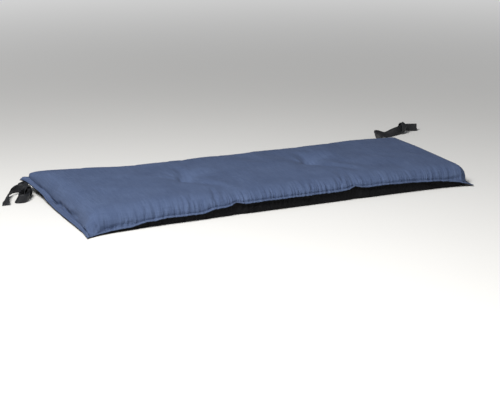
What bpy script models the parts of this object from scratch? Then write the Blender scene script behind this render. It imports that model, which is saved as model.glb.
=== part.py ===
"""Bench cushion with two tufts and a ribbon tie at each back corner.

Metres, +Z up. The origin is the middle of the flat underside, +X runs along the
cushion to its right end and -Y is the front. The filled cushion carries a blue
top panel that is sewn to the dark base panel along the seam allowance.
"""

import math

import bmesh
import bpy
from mathutils import Vector

# Driving sizes of the cushion
LENGTH = 1.180
DEPTH = 0.506
SHOULDER_HEIGHT = 0.060
DOME = 0.008
BACK_LIFTS = {-1: 0.010, 1: -0.005}
SEAM_ALLOWANCE = 0.008
LONG_SHOULDER = 0.062
LEFT_SHOULDER = 0.050
RIGHT_SHOULDER = 0.036
END_BELLY = 0.034
LONG_BELLY = 0.014
FULLNESS = 2.6
FRONT_SHARPNESS = 7.0
BACK_SHARPNESS = 3.4
PANEL_THICKNESS = 0.0016
BASE_CLOTH = 0.0016
SEWN_GAP = 0.0003

# How the outline departs from a rectangle
END_LEAN = 0.062
LONG_SIDE_DRAW_IN = 0.007
END_DRAW_IN = 0.004
EAR_REACH = 0.034
CORNER_EARS = {
    # (end, long side): (reach along X, reach along Y)
    (-1, -1): (0.010, 0.022),
    (1, -1): (0.002, 0.008),
    (-1, 1): (0.028, 0.012),
    (1, 1): (0.013, 0.008),
}
CORNER_CUTS = {
    # (end, long side): how far the filling stays back from the corner, along its diagonal
    (-1, -1): 0.030,
    (1, -1): 0.024,
    (-1, 1): 0.014,
    (1, 1): 0.018,
}
CORNER_RISE = 0.024
LEFT_FLARE = 0.010
TIE_PULL = 0.060
TIE_PULL_REACH = 0.30

# The two tufts, and the pinch that each one makes in the long seams
TUFTS = (
    # x, y, x of the pinch
    (-0.217, -0.006, -0.152),
    (0.188, 0.018, 0.215),
)
TUFT_DEPTH = 0.016
TUFT_CORE = 0.022
TUFT_SPREAD = 0.060
CORE_SHARE = 0.4
VALLEY_DEPTH = 0.004
VALLEY_WIDTH = 0.030
BACK_VALLEY = 0.3
PINCH_RISE = 0.006
PINCH_IN = 0.005
PINCH_WIDTH = 0.016

# Grid of the panels: cells round each shoulder and across the middle
SHOULDER_CELLS = 5
LONG_CELLS = 38
CROSS_CELLS = 13

# Height of the seam along each side; "along" runs from -1 to 1, left to right or front to back
FRONT_SEAM = (
    # along, height
    (-1.00, 0.0045),
    (-0.80, 0.0105),
    (-0.70, 0.0200),
    (-0.60, 0.0235),
    (-0.44, 0.0215),
    (-0.36, 0.0310),
    (-0.15, 0.0350),
    (0.20, 0.0345),
    (0.50, 0.0370),
    (0.61, 0.0350),
    (0.70, 0.0325),
    (0.80, 0.0285),
    (0.86, 0.0252),
    (0.91, 0.0206),
    (0.96, 0.0125),
    (1.00, 0.0045),
)
BACK_SEAM = (
    # along, height
    (-1.00, 0.0340),
    (-0.96, 0.0370),
    (-0.85, 0.0320),
    (-0.60, 0.0290),
    (0.80, 0.0290),
    (1.00, 0.0320),
)
LEFT_SEAM = (
    # along, height
    (-1.00, 0.0045),
    (-0.75, 0.0070),
    (0.15, 0.0070),
    (0.45, 0.0110),
    (0.60, 0.0215),
    (0.75, 0.0240),
    (1.00, 0.0340),
)
RIGHT_SEAM = (
    # along, height
    (-1.00, 0.0045),
    (-0.80, 0.0070),
    (-0.30, 0.0190),
    (0.50, 0.0230),
    (1.00, 0.0320),
)

# Broad unevenness of the filling
SWELLS = (
    # cycles along X, cycles along Y, phase, height
    (2.6, 0.7, 0.4, 0.0008),
    (4.3, 1.6, 2.1, 0.0006),
    (7.1, 0.4, 1.1, 0.0004),
)

# Ribbon of the ties
RIBBON_WIDTH = 0.024
RIBBON_THICKNESS = 0.0012
DOUBLED_THICKNESS = 0.0026
REST_GAP = 0.0004
POINTS_PER_SPAN = 4

# Each route starts at its first point; lift is the clearance under the ribbon, and
# lean is 0 where the ribbon lies flat and 90 where it stands on its edge
LEFT_STRANDS = (
    # x, y, lift, lean
    (-0.590, 0.308, 0.0275, 0),
    (-0.604, 0.303, 0.0225, 8),
    (-0.613, 0.286, 0.0110, 54),
    (-0.613, 0.262, 0.0060, 82),
    (-0.607, 0.242, 0.0040, 88),
)
LEFT_FREE_END = (
    # x, y, lift, lean
    (-0.606, 0.242, 0.0040, 88),
    (-0.609, 0.262, 0.0060, 90),
    (-0.622, 0.275, 0.0060, 90),
    (-0.642, 0.272, 0.0040, 72),
    (-0.663, 0.246, 0.0010, 62),
    (-0.682, 0.208, 0.0000, 44),
    (-0.695, 0.168, 0.0000, 24),
)
LEFT_BOW_LOOP = (
    # x, y, lift, lean
    (-0.602, 0.238, 0.0030, 90),
    (-0.608, 0.214, 0.0010, 84),
    (-0.628, 0.180, 0.0000, 80),
    (-0.646, 0.176, 0.0000, 98),
    (-0.656, 0.187, 0.0000, 122),
    (-0.648, 0.206, 0.0000, 110),
    (-0.632, 0.228, 0.0010, 96),
    (-0.610, 0.246, 0.0030, 90),
)
RIGHT_STRANDS = (
    # x, y, lift, lean
    (0.603, 0.252, 0.0269, 0),
    (0.612, 0.272, 0.0215, 6),
    (0.622, 0.330, 0.0040, 40),
    (0.635, 0.400, 0.0000, 66),
    (0.641, 0.440, 0.0000, 74),
    (0.655, 0.456, 0.0000, 60),
    (0.682, 0.447, 0.0000, 30),
    (0.716, 0.450, 0.0020, 56),
    (0.752, 0.461, 0.0040, 84),
)
RIGHT_FREE_END = (
    # x, y, lift, lean
    (0.752, 0.462, 0.0050, 86),
    (0.770, 0.477, 0.0040, 88),
    (0.795, 0.484, 0.0010, 86),
    (0.817, 0.479, 0.0000, 84),
)

# The lumps that make each knot
LEFT_KNOT = (
    # x, y, z, size along, size across, size up, turn, tip
    (-0.6060, 0.2380, 0.0185, 0.034, 0.026, 0.034, 80, 8),
    (-0.6100, 0.2540, 0.0180, 0.028, 0.030, 0.030, 110, -20),
    (-0.6050, 0.2640, 0.0160, 0.030, 0.020, 0.024, 85, 0),
)
RIGHT_KNOT = (
    # x, y, z, size along, size across, size up, turn, tip
    (0.7500, 0.4600, 0.0215, 0.024, 0.026, 0.040, 20, 10),
    (0.7560, 0.4660, 0.0205, 0.026, 0.022, 0.032, 50, -14),
)

BLUE = (0.105, 0.150, 0.250, 1.0)
BLACK = (0.012, 0.012, 0.014, 1.0)
CLOTH_ROUGHNESS = 0.92
RIBBON_ROUGHNESS = 0.70


def clear_scene():
    """Take every object out of the scene."""
    for item in list(bpy.data.objects):
        bpy.data.objects.remove(item, do_unlink=True)


def make_material(name, colour, roughness):
    """Make a cloth material."""
    material = bpy.data.materials.new(name)
    material.use_nodes = True
    shader = material.node_tree.nodes["Principled BSDF"]
    shader.inputs["Base Color"].default_value = colour
    shader.inputs["Roughness"].default_value = roughness
    shader.inputs["Metallic"].default_value = 0.0
    return material


def from_table(table, along):
    """Read a two-column table at a place along it."""
    for (start, low), (end, high) in zip(table, table[1:]):
        if along <= end:
            share = max(0.0, (along - start) / (end - start))
            share = share * share * (3.0 - 2.0 * share)
            return low + (high - low) * share
    return table[-1][1]


def line_stops(half, shoulder, middle_cells):
    """Grid stops across a panel, close together round both shoulders."""
    edge = [0.0]
    for step in range(SHOULDER_CELLS + 1):
        angle = 0.5 * math.pi * step / SHOULDER_CELLS
        edge.append(SEAM_ALLOWANCE + shoulder * (1.0 - math.cos(angle)))
    inner = half - edge[-1]
    middle = [-inner + 2.0 * inner * step / middle_cells for step in range(1, middle_cells)]
    return [stop - half for stop in edge] + middle + [half - stop for stop in reversed(edge)]


def bell(distance, width):
    """A smooth bump of height 1."""
    return math.exp(-((distance / width) ** 2))


def pinch_at(x):
    """How strongly a tuft's pull draws in the long seams at x."""
    return sum(bell(x - pinch_x, PINCH_WIDTH) for _, _, pinch_x in TUFTS)


def seam_height(across, along):
    """Height of the seam surface, blended from the four sides."""
    front = from_table(FRONT_SEAM, across)
    back = from_table(BACK_SEAM, across)
    left = from_table(LEFT_SEAM, along)
    right = from_table(RIGHT_SEAM, along)
    to_left = 0.5 * (1.0 - across)
    to_front = 0.5 * (1.0 - along)
    corners = (
        to_left * (to_front * FRONT_SEAM[0][1] + (1.0 - to_front) * BACK_SEAM[0][1])
        + (1.0 - to_left) * (to_front * FRONT_SEAM[-1][1] + (1.0 - to_front) * BACK_SEAM[-1][1])
    )
    sides = to_front * front + (1.0 - to_front) * back + to_left * left + (1.0 - to_left) * right
    return sides - corners


def by_corner(facts, flat_x, flat_y):
    """The value that a table holds for the corner nearest to a point."""
    return facts[(1 if flat_x > 0.0 else -1, 1 if flat_y > 0.0 else -1)]


def plan_place(flat_x, flat_y):
    """Move a point of the flat rectangle to its place in the drawn-in outline."""
    across = flat_x / (0.5 * LENGTH)
    along = flat_y / (0.5 * DEPTH)
    to_end = 0.5 * LENGTH - abs(flat_x)
    to_long_side = 0.5 * DEPTH - abs(flat_y)
    ear = math.exp(-(to_end + to_long_side) / EAR_REACH)
    ear_x, ear_y = by_corner(CORNER_EARS, flat_x, flat_y)
    pinch = PINCH_IN * pinch_at(flat_x) * abs(along) ** 6
    end_draw = END_DRAW_IN * (1.0 - along ** 2) * abs(across) ** 3
    side_draw = LONG_SIDE_DRAW_IN * (1.0 - across ** 4) * abs(along) ** 3
    x = flat_x + math.copysign(ear_x * ear - end_draw, flat_x) + END_LEAN * flat_y
    y = flat_y + math.copysign(ear_y * ear - side_draw - pinch, flat_y)
    if flat_x < SEAM_ALLOWANCE - 0.5 * LENGTH:
        x -= LEFT_FLARE * (1.0 - to_end / SEAM_ALLOWANCE) * (1.0 - along ** 2)
    if along > 0.0:
        pulled = max(0.0, 1.0 - (flat_x + 0.5 * LENGTH) / TIE_PULL_REACH)
        y += TIE_PULL * along ** 2 * pulled * pulled * (3.0 - 2.0 * pulled)
    return x, y


def shoulder_rise(flat_x, flat_y, end_reach, long_reach):
    """Share of the full rise: 0 on the seam allowance, 1 inside the shoulders."""
    to_end = 0.5 * LENGTH - abs(flat_x)
    to_long_side = 0.5 * DEPTH - abs(flat_y)
    sharpness = FRONT_SHARPNESS + (BACK_SHARPNESS - FRONT_SHARPNESS) * (0.5 + flat_y / DEPTH)
    from_corner = (to_end + to_long_side) / math.sqrt(2.0) - by_corner(CORNER_CUTS, flat_x, flat_y)
    limits = (
        (to_end - SEAM_ALLOWANCE, end_reach),
        (to_long_side - SEAM_ALLOWANCE, long_reach),
        (from_corner, CORNER_RISE),
    )
    blend = 1.0 - len(limits)
    for distance, reach in limits:
        share = min(1.0, distance / reach)
        if share <= 1e-6:
            return 0.0
        rise = (1.0 - (1.0 - share) ** FULLNESS) ** (1.0 / FULLNESS)
        blend += rise ** -sharpness
    return blend ** (-1.0 / sharpness)


def edge_height(flat_x, flat_y):
    """Height of the seam at a point, with the lift of the pinches."""
    across = flat_x / (0.5 * LENGTH)
    along = flat_y / (0.5 * DEPTH)
    return seam_height(across, along) + PINCH_RISE * pinch_at(flat_x) * abs(along) ** 8


def top_point(flat_x, flat_y):
    """A point of the crowned top of the filled cushion."""
    x, y = plan_place(flat_x, flat_y)
    across = flat_x / (0.5 * LENGTH)
    along = flat_y / (0.5 * DEPTH)
    seam = edge_height(flat_x, flat_y)
    end_shoulder = LEFT_SHOULDER if flat_x < 0.0 else RIGHT_SHOULDER
    rise = shoulder_rise(flat_x, flat_y, end_shoulder, LONG_SHOULDER)
    height = SHOULDER_HEIGHT + DOME * (1.0 - across ** 4) * (1.0 - along ** 2)
    for end, lift in BACK_LIFTS.items():
        height += lift * (0.5 + 0.5 * end * across) ** 4 * (0.5 + 0.5 * along) ** 2
    for cycles_x, cycles_y, phase, swell in SWELLS:
        wave = cycles_x * across + cycles_y * along + phase
        height += swell * math.sin(math.pi * wave)
    for tuft_x, tuft_y, pinch_x in TUFTS:
        away = math.hypot(flat_x - tuft_x, flat_y - tuft_y)
        core = CORE_SHARE * bell(away, TUFT_CORE) + (1.0 - CORE_SHARE) * bell(away, TUFT_SPREAD)
        valley_x = tuft_x + (pinch_x - tuft_x) * abs(along)
        valley = VALLEY_DEPTH if along < 0.0 else BACK_VALLEY * VALLEY_DEPTH
        height -= TUFT_DEPTH * core + valley * bell(flat_x - valley_x, VALLEY_WIDTH) * along ** 2
    return Vector((x, y, seam + (height - seam) * rise))


def base_point(flat_x, flat_y):
    """A point of the underside, which is flat where it rests."""
    x, y = plan_place(flat_x, flat_y)
    seam = edge_height(flat_x, flat_y) - BASE_CLOTH
    return Vector((x, y, seam * (1.0 - shoulder_rise(flat_x, flat_y, END_BELLY, LONG_BELLY))))


def add_sheet(mesh, place):
    """Add a grid whose points lie where place() puts them; return its faces."""
    stops_x = line_stops(0.5 * LENGTH, LEFT_SHOULDER, LONG_CELLS)
    stops_y = line_stops(0.5 * DEPTH, LONG_SHOULDER, CROSS_CELLS)
    cells_x = len(stops_x) - 1
    cells_y = len(stops_y) - 1
    made = bmesh.ops.create_grid(mesh, x_segments=cells_x, y_segments=cells_y, size=1.0)
    for vert in made["verts"]:
        column = round(0.5 * (vert.co.x + 1.0) * cells_x)
        row = round(0.5 * (vert.co.y + 1.0) * cells_y)
        vert.co = place(stops_x[column], stops_y[row])
    return list({face for vert in made["verts"] for face in vert.link_faces})


def border_edges(faces):
    """Open edges of a set of faces."""
    return [edge for edge in {e for face in faces for e in face.edges} if edge.is_boundary]


def new_object(name, mesh, collection, material):
    """Turn a bmesh into a named object with a material."""
    data = bpy.data.meshes.new(name)
    mesh.to_mesh(data)
    mesh.free()
    data.materials.append(material)
    data.shade_smooth()
    item = bpy.data.objects.new(name, data)
    collection.objects.link(item)
    return item


def build_cushion(collection, material):
    """The filled cushion: crowned top, seam allowance and flat underside."""
    mesh = bmesh.new()
    top = add_sheet(mesh, top_point)
    base = add_sheet(mesh, base_point)
    bmesh.ops.bridge_loops(mesh, edges=border_edges(top) + border_edges(base))
    resting = [face for face in base if all(vert.co.z < 1e-7 for vert in face.verts)]
    bmesh.ops.dissolve_faces(mesh, faces=resting, use_verts=True)
    bmesh.ops.recalc_face_normals(mesh, faces=mesh.faces[:])
    return new_object("cushion", mesh, collection, material)


def build_top_panel(collection, material):
    """The woven panel that covers the crown and turns down to the seam."""
    mesh = bmesh.new()
    add_sheet(mesh, top_point)
    mesh.normal_update()
    moved = [(vert, vert.co + SEWN_GAP * vert.normal) for vert in mesh.verts]
    for vert, place in moved:
        vert.co = place
    item = new_object("top_panel", mesh, collection, material)
    shell = item.modifiers.new("cloth", "SOLIDIFY")
    shell.thickness = PANEL_THICKNESS
    shell.offset = 1.0
    return item


def smooth_route(table):
    """Points of a smooth curve through a route's rows."""
    rows = [Vector(row) for row in table]
    padded = [rows[0]] + rows + [rows[-1]]
    points = []
    for first, start, end, last in zip(padded, padded[1:], padded[2:], padded[3:]):
        for step in range(POINTS_PER_SPAN):
            share = step / POINTS_PER_SPAN
            points.append(
                0.5
                * (
                    2.0 * start
                    + (end - first) * share
                    + (2.0 * first - 5.0 * start + 4.0 * end - last) * share ** 2
                    + (3.0 * start - first - 3.0 * end + last) * share ** 3
                )
            )
    return points + [rows[-1]]


def ribbon_edges(table, thickness):
    """Both long edges of a ribbon along its route."""
    points = smooth_route(table)
    edges = []
    for index, (x, y, lift, lean) in enumerate(points):
        before = points[max(index - 1, 0)]
        after = points[min(index + 1, len(points) - 1)]
        run = Vector((after[0] - before[0], after[1] - before[1], 0.0)).normalized()
        side = Vector((-run.y, run.x, 0.0))
        slope = math.radians(lean)
        stand = 0.5 * (RIBBON_WIDTH * math.sin(slope) + thickness)
        middle = Vector((x, y, REST_GAP + max(lift, 0.0) + stand))
        reach = 0.5 * RIBBON_WIDTH * (math.cos(slope) * side + Vector((0.0, 0.0, math.sin(slope))))
        edges.append((middle - reach, middle + reach))
    return edges


def build_ribbon(name, table, thickness, collection, material):
    """A ribbon along a route, with cut ends."""
    edges = ribbon_edges(table, thickness)
    mesh = bmesh.new()
    cells = len(edges) - 1
    made = bmesh.ops.create_grid(mesh, x_segments=cells, y_segments=1, size=1.0)
    for vert in made["verts"]:
        column = round(0.5 * (vert.co.x + 1.0) * cells)
        vert.co = edges[column][0 if vert.co.y < 0.0 else 1]
    item = new_object(name, mesh, collection, material)
    shell = item.modifiers.new("cloth", "SOLIDIFY")
    shell.thickness = thickness
    shell.offset = 0.0
    return item


def build_lump(name, row, collection, material):
    """One rounded lump of a knot, from a cube cage."""
    x, y, z, size_along, size_across, size_up, turn, tip = row
    mesh = bmesh.new()
    bmesh.ops.create_cube(mesh, size=1.0)
    for vert in mesh.verts:
        vert.co = Vector((vert.co.x * size_along, vert.co.y * size_across, vert.co.z * size_up))
    bmesh.ops.subdivide_edges(mesh, edges=mesh.edges[:], cuts=1, use_grid_fill=True)
    item = new_object(name, mesh, collection, material)
    item.location = (x, y, z)
    item.rotation_euler = (0.0, math.radians(tip), math.radians(turn))
    soft = item.modifiers.new("soft", "SUBSURF")
    soft.levels = 1
    soft.render_levels = 1
    return item


def make_plain_mesh(item):
    """Replace an object's mesh by its evaluated one, in world space."""
    graph = bpy.context.evaluated_depsgraph_get()
    data = bpy.data.meshes.new_from_object(item.evaluated_get(graph))
    data.transform(item.matrix_world)
    item.modifiers.clear()
    item.data = data
    item.location = (0.0, 0.0, 0.0)
    item.rotation_euler = (0.0, 0.0, 0.0)


def join_pieces(name, pieces):
    """Unite pieces of one ribbon into one solid."""
    bpy.context.view_layer.update()
    for piece in pieces:
        make_plain_mesh(piece)
    whole = pieces[0]
    whole.name = name
    for piece in pieces[1:]:
        union = whole.modifiers.new("join", "BOOLEAN")
        union.operation = "UNION"
        union.solver = "EXACT"
        union.object = piece
        bpy.context.view_layer.update()
        make_plain_mesh(whole)
        bpy.data.objects.remove(piece, do_unlink=True)
    return whole


def build_tie(name, strands, loose, knot, collection, material):
    """A doubled ribbon, its knot, and what comes out of the knot."""
    pieces = [build_ribbon(name + "_strands", strands, DOUBLED_THICKNESS, collection, material)]
    for number, row in enumerate(knot):
        pieces.append(build_lump(f"{name}_knot_{number}", row, collection, material))
    for number, route in enumerate(loose):
        piece = build_ribbon(f"{name}_end_{number}", route, RIBBON_THICKNESS, collection, material)
        pieces.append(piece)
    return join_pieces(name, pieces)


def main():
    """Build every piece into one collection."""
    clear_scene()
    collection = bpy.data.collections.new("bench_cushion")
    bpy.context.scene.collection.children.link(collection)
    blue = make_material("blue_weave", BLUE, CLOTH_ROUGHNESS)
    black = make_material("dark_base_cloth", BLACK, CLOTH_ROUGHNESS)
    ribbon = make_material("tie_ribbon", BLACK, RIBBON_ROUGHNESS)
    build_cushion(collection, black)
    build_top_panel(collection, blue)
    build_tie("tie_left", LEFT_STRANDS, (LEFT_BOW_LOOP, LEFT_FREE_END), LEFT_KNOT, collection, ribbon)
    build_tie("tie_right", RIGHT_STRANDS, (RIGHT_FREE_END,), RIGHT_KNOT, collection, ribbon)


main()
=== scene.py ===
from math import cos, hypot, pi, radians, sin, sqrt

import bpy
import numpy as np
from mathutils import Matrix, Vector
from numpy.linalg import norm


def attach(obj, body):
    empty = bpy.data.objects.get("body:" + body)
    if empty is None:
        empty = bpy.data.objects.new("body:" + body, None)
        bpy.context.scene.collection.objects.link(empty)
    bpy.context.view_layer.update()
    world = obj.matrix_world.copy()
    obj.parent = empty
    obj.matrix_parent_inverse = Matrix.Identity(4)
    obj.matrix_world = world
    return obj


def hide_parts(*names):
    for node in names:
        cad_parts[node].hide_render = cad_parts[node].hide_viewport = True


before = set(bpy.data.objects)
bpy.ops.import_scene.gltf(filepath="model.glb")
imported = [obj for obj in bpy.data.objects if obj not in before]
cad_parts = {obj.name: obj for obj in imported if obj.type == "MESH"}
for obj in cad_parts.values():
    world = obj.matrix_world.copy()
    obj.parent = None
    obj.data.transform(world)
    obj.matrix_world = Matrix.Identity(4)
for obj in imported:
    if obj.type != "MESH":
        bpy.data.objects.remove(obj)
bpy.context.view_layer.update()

scene = bpy.context.scene
PER_METRE = 10000.0
TURN = 2.0 * pi


def seam_table(*rows):
    """Shares and heights in metres from percent and steps of 0.1 mm."""
    return np.array(rows) / (100.0, PER_METRE)


# ---- sizes of the cushion, as in the CAD
# Metres throughout, +X to the right end, -Y to the front. A corner is (end, side), each -1 or 1.
LENGTH = 1.180
DEPTH = 0.506
SHOULDER_HEIGHT = 0.060
DOME = 0.008
BACK_LIFTS = {-1: 0.010, 1: -0.005}
ALLOWANCE = 0.008
LONG_SHOULDER = 0.062
LEFT_SHOULDER = 0.050
RIGHT_SHOULDER = 0.036
END_BELLY = 0.034
LONG_BELLY = 0.014
FULLNESS = 2.6
FRONT_SHARPNESS = 7.0
BACK_SHARPNESS = 3.4
END_LEAN = 0.062
LONG_SIDE_DRAW_IN = 0.007
END_DRAW_IN = 0.004
EAR_REACH = 0.034
CORNER_EARS = {
    (-1, -1): (0.010, 0.022), (1, -1): (0.002, 0.008), (-1, 1): (0.028, 0.012), (1, 1): (0.013, 0.008),
}
CORNER_CUTS = {(-1, -1): 0.030, (1, -1): 0.024, (-1, 1): 0.014, (1, 1): 0.018}
CORNER_RISE = 0.024
LEFT_FLARE = 0.010
TIE_PULL = 0.060
TIE_PULL_REACH = 0.30
# Each tuft is its place in X and Y, and the place in X where its valleys meet the long seams
TUFTS = ((-0.217, -0.006, -0.152), (0.188, 0.018, 0.215))
TUFT_DEPTH = 0.016
TUFT_CORE = 0.022
TUFT_SPREAD = 0.060
CORE_SHARE = 0.4
VALLEY_DEPTH = 0.004
VALLEY_WIDTH = 0.030
BACK_VALLEY = 0.3
PINCH_RISE = 0.006
PINCH_IN = 0.005
PINCH_WIDTH = 0.016
# Seam of each side: percent of the half length or half depth, and height in steps of 0.1 mm
FRONT_SEAM = seam_table(
    (-100, 45), (-80, 105), (-70, 200), (-60, 235), (-44, 215), (-36, 310), (-15, 350), (20, 345),
    (50, 370), (61, 350), (70, 325), (80, 285), (86, 252), (91, 206), (96, 125), (100, 45),
)
BACK_SEAM = seam_table((-100, 340), (-96, 370), (-85, 320), (-60, 290), (80, 290), (100, 320))
LEFT_SEAM = seam_table((-100, 45), (-75, 70), (15, 70), (45, 110), (60, 215), (75, 240), (100, 340))
RIGHT_SEAM = seam_table((-100, 45), (-80, 70), (-30, 190), (50, 230), (100, 320))
# Uneven filling: half waves along X and along Y, phase, height
SWELLS = ((2.6, 0.7, 0.4, 0.0008), (4.3, 1.6, 2.1, 0.0006), (7.1, 0.4, 1.1, 0.0004))

# ---- cloth of the visible pieces
SHEET = 0.0011
SHEET_LIFT = 0.0008
LINING_GAP = 0.0012
LOWEST_TOP = 0.0030
FLOOR_GAP = 0.0002
# Stops of the grid over the seam allowance and up the shoulder, and cells between the shoulders
FLANGE_STOPS = (0.0, 0.0010, 0.0030, 0.0050, 0.0068)
RISE_STOPS = (
    0.0, 0.03, 0.07, 0.12, 0.18, 0.25, 0.33, 0.41, 0.49, 0.57, 0.65, 0.72, 0.79, 0.85, 0.90, 0.94,
    0.97, 0.99, 1.0,
)
LONG_CELLS = 390
CROSS_CELLS = 52
LONG_SIDES = ("front", "back")


def clamp01(value):
    return np.clip(value, 0.0, 1.0)


def ease(value):
    """Smooth step from 0 to 1."""
    share = clamp01(value)
    return share * share * (3.0 - 2.0 * share)


def bell(distance, width):
    """1 at no distance, falling to 0 over a width."""
    return np.exp(-((distance / width) ** 2))


def from_table(table, along):
    """Read a two-column table at places along it."""
    stops, values = table.T
    index = np.clip(np.searchsorted(stops, along, side="left") - 1, 0, len(stops) - 2)
    share = ease((along - stops[index]) / (stops[index + 1] - stops[index]))
    return values[index] + (values[index + 1] - values[index]) * share


def line_stops(half, shoulder, middle_cells):
    """Grid stops across a panel, close together at the seams and round the shoulders."""
    edge = list(FLANGE_STOPS)
    for rise in RISE_STOPS:
        edge.append(ALLOWANCE + shoulder * (1.0 - (1.0 - rise ** FULLNESS) ** (1.0 / FULLNESS)))
    inner = half - edge[-1]
    middle = [-inner + 2.0 * inner * step / middle_cells for step in range(1, middle_cells)]
    return np.array([stop - half for stop in edge] + middle + [half - stop for stop in reversed(edge)])


STOPS_X = line_stops(0.5 * LENGTH, LEFT_SHOULDER, LONG_CELLS)
STOPS_Y = line_stops(0.5 * DEPTH, LONG_SHOULDER, CROSS_CELLS)
FX, FY = np.meshgrid(STOPS_X, STOPS_Y, indexing="ij")
ACROSS = FX / (0.5 * LENGTH)
ALONG = FY / (0.5 * DEPTH)
TO_END = 0.5 * LENGTH - np.abs(FX)
TO_SIDE = 0.5 * DEPTH - np.abs(FY)
TO_EDGE = np.minimum(TO_END, TO_SIDE)
# 1 at the pinches of the long seams, 0 away from them
PINCHES = sum(bell(FX - pinch_x, PINCH_WIDTH) for _, _, pinch_x in TUFTS)


def by_corner(facts):
    """A grid that holds each corner's own value in its quarter of the panel."""
    values = np.zeros_like(FX)
    for (end, side), value in facts.items():
        values[((FX > 0.0) == (end > 0)) & ((FY > 0.0) == (side > 0))] = value
    return values


def seam_height():
    """Height of the seam surface, blended from the four sides."""
    to_left = 0.5 * (1.0 - ACROSS)
    to_front = 0.5 * (1.0 - ALONG)
    corners = to_left * (to_front * FRONT_SEAM[0][1] + (1.0 - to_front) * BACK_SEAM[0][1])
    corners += (1.0 - to_left) * (to_front * FRONT_SEAM[-1][1] + (1.0 - to_front) * BACK_SEAM[-1][1])
    sides = to_front * from_table(FRONT_SEAM, ACROSS) + (1.0 - to_front) * from_table(BACK_SEAM, ACROSS)
    sides += to_left * from_table(LEFT_SEAM, ALONG) + (1.0 - to_left) * from_table(RIGHT_SEAM, ALONG)
    return sides - corners + PINCH_RISE * PINCHES * np.abs(ALONG) ** 8


def plan_place():
    """Places of the grid's points in the drawn-in outline."""
    ear = np.exp(-(TO_END + TO_SIDE) / EAR_REACH)
    ear_x, ear_y = (
        by_corner({corner: reach[axis] for corner, reach in CORNER_EARS.items()}) for axis in (0, 1)
    )
    pinch = PINCH_IN * PINCHES * np.abs(ALONG) ** 6
    end_draw = END_DRAW_IN * (1.0 - ALONG ** 2) * np.abs(ACROSS) ** 3
    side_draw = LONG_SIDE_DRAW_IN * (1.0 - ACROSS ** 4) * np.abs(ALONG) ** 3
    x = FX + np.sign(FX) * (ear_x * ear - end_draw) + END_LEAN * FY
    flared = clamp01((ALLOWANCE - 0.5 * LENGTH - FX) / ALLOWANCE) * (1.0 - ALONG ** 2)
    x -= LEFT_FLARE * flared
    y = FY + np.sign(FY) * (ear_y * ear - side_draw - pinch)
    pulled = clamp01(1.0 - (FX + 0.5 * LENGTH) / TIE_PULL_REACH)
    y += np.where(ALONG > 0.0, TIE_PULL * ALONG ** 2 * ease(pulled), 0.0)
    return x, y


def shoulder_rise(end_reach, long_reach):
    """Share of the full rise: 0 on the seam allowance, 1 inside the shoulders."""
    sharpness = FRONT_SHARPNESS + (BACK_SHARPNESS - FRONT_SHARPNESS) * (0.5 + 0.5 * ALONG)
    flat = np.zeros(FX.shape, bool)
    from_corner = (TO_END + TO_SIDE) / sqrt(2.0) - by_corner(CORNER_CUTS)
    limits = (
        (TO_END - ALLOWANCE, end_reach),
        (TO_SIDE - ALLOWANCE, long_reach),
        (from_corner, CORNER_RISE),
    )
    blend = np.full_like(FX, 1.0 - len(limits))
    for distance, reach in limits:
        share = np.minimum(1.0, distance / reach)
        flat |= share <= 1e-6
        share = np.maximum(share, 1e-6)
        rise = (1.0 - (1.0 - share) ** FULLNESS) ** (1.0 / FULLNESS)
        blend += rise ** -sharpness
    return np.where(flat, 0.0, blend ** (-1.0 / sharpness))


def top_surface():
    """The crowned top as a grid of points."""
    x, y = plan_place()
    seam = seam_height()
    rise = shoulder_rise(np.where(FX < 0.0, LEFT_SHOULDER, RIGHT_SHOULDER), LONG_SHOULDER)
    height = SHOULDER_HEIGHT + DOME * (1.0 - ACROSS ** 4) * (1.0 - ALONG ** 2)
    for end, lift in BACK_LIFTS.items():
        height += lift * (0.5 + 0.5 * end * ACROSS) ** 4 * (0.5 + 0.5 * ALONG) ** 2
    for cycles_x, cycles_y, phase, swell in SWELLS:
        height += swell * np.sin(pi * (cycles_x * ACROSS + cycles_y * ALONG + phase))
    for tuft_x, tuft_y, pinch_x in TUFTS:
        away = np.hypot(FX - tuft_x, FY - tuft_y)
        dip = CORE_SHARE * bell(away, TUFT_CORE) + (1.0 - CORE_SHARE) * bell(away, TUFT_SPREAD)
        height -= TUFT_DEPTH * dip
        valley_x = tuft_x + (pinch_x - tuft_x) * np.abs(ALONG)
        valley = VALLEY_DEPTH * np.where(ALONG < 0.0, 1.0, BACK_VALLEY)
        height -= valley * bell(FX - valley_x, VALLEY_WIDTH) * ALONG ** 2
    return np.stack([x, y, seam + (height - seam) * rise], axis=-1)


def base_surface():
    """The underside as a grid of points, flat where it rests."""
    x, y = plan_place()
    return np.stack([x, y, seam_height() * (1.0 - shoulder_rise(END_BELLY, LONG_BELLY))], axis=-1)


def normals_of(points):
    """Unit normals of a grid of points, upwards."""
    along_x = np.gradient(points, axis=0)
    along_y = np.gradient(points, axis=1)
    normal = np.cross(along_x, along_y)
    return normal / np.maximum(norm(normal, axis=-1, keepdims=True), 1e-12)


def run_lengths(points):
    """Lengths along the grid's two directions, from the first point of each line."""
    runs = []
    for axis in (0, 1):
        steps = norm(np.diff(points, axis=axis), axis=-1)
        runs.append(np.insert(np.cumsum(steps, axis=axis), 0, 0.0, axis=axis))
    return runs


# ---- gathers, creases and wrinkles
# Gathers, creases, wrinkles and routes are given in steps of 0.1 mm
# Gathers along each seam: seed, then how far apart, how deep, how wide, and how far they run inwards
GATHERS = {
    "front": (11, (52, 170), (8, 37), (20, 36), (160, 460)),
    "back": (12, (90, 200), (5, 16), (28, 45), (160, 450)),
    "left": (13, (140, 320), (3, 10), (32, 56), (100, 300)),
    "right": (14, (110, 240), (4, 14), (30, 50), (120, 360)),
}
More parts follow.
